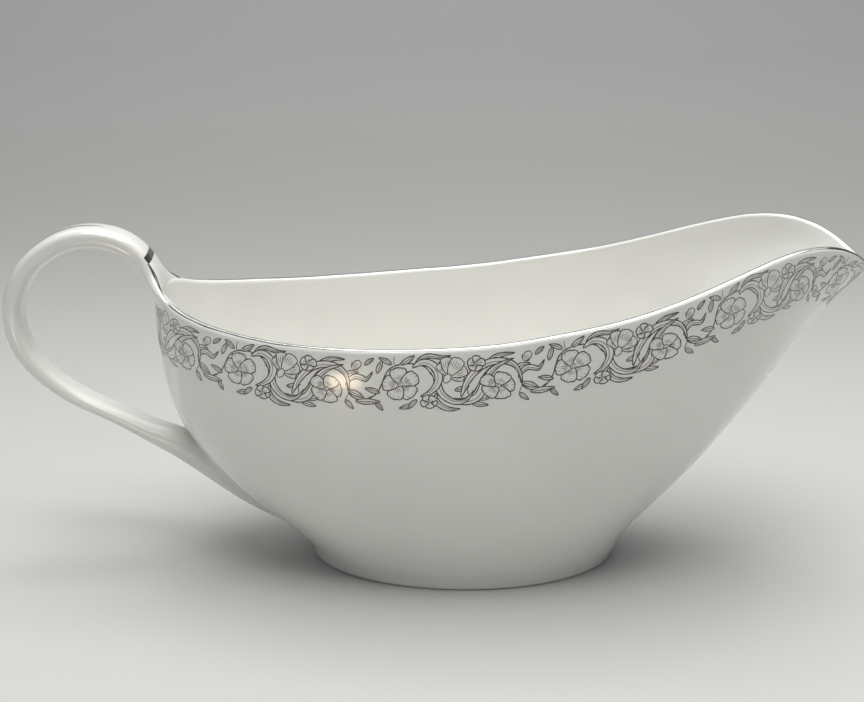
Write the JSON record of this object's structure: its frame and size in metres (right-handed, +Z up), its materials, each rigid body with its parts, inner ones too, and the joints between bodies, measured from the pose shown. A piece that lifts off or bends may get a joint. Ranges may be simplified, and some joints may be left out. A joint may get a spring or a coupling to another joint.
{
  "type": "gravy boat",
  "caption": "Oval footed porcelain gravy boat with a wide pouring lip, a high looped strap handle, a platinum rim line and a floral band.",
  "frame": {"origin": "centre of the bounding box in plan, on the table under the foot ring", "axes": "+X along the boat towards the pouring lip, with the handle at -X; +Y across the boat, which is symmetric about Y = 0; +Z up"},
  "size_m": [0.2389, 0.0922, 0.0952],
  "materials": {
    "glazed_porcelain": "high-gloss clear glaze over warm white porcelain",
    "glazed_porcelain_foot": "high-gloss clear glaze, dry unglazed standing edge",
    "glazed_porcelain_handle": "high-gloss clear glaze over warm white porcelain",
    "platinum": "fired bright platinum lustre",
    "transfer_ink": "fired ceramic transfer line print, brown-grey with a metallic sheen"
  },
  "bodies": {
    "root": {"bowl": "glazed_porcelain", "foot_ring": "glazed_porcelain_foot", "handle": "glazed_porcelain_handle", "rim_line": "platinum", "floral_transfer_near": "transfer_ink", "floral_transfer_far": "transfer_ink", "handle_cross_band": "platinum", "handle_line_near": "platinum", "handle_line_far": "platinum", "handle_spine_line": "platinum"}
  },
  "joints": []
}
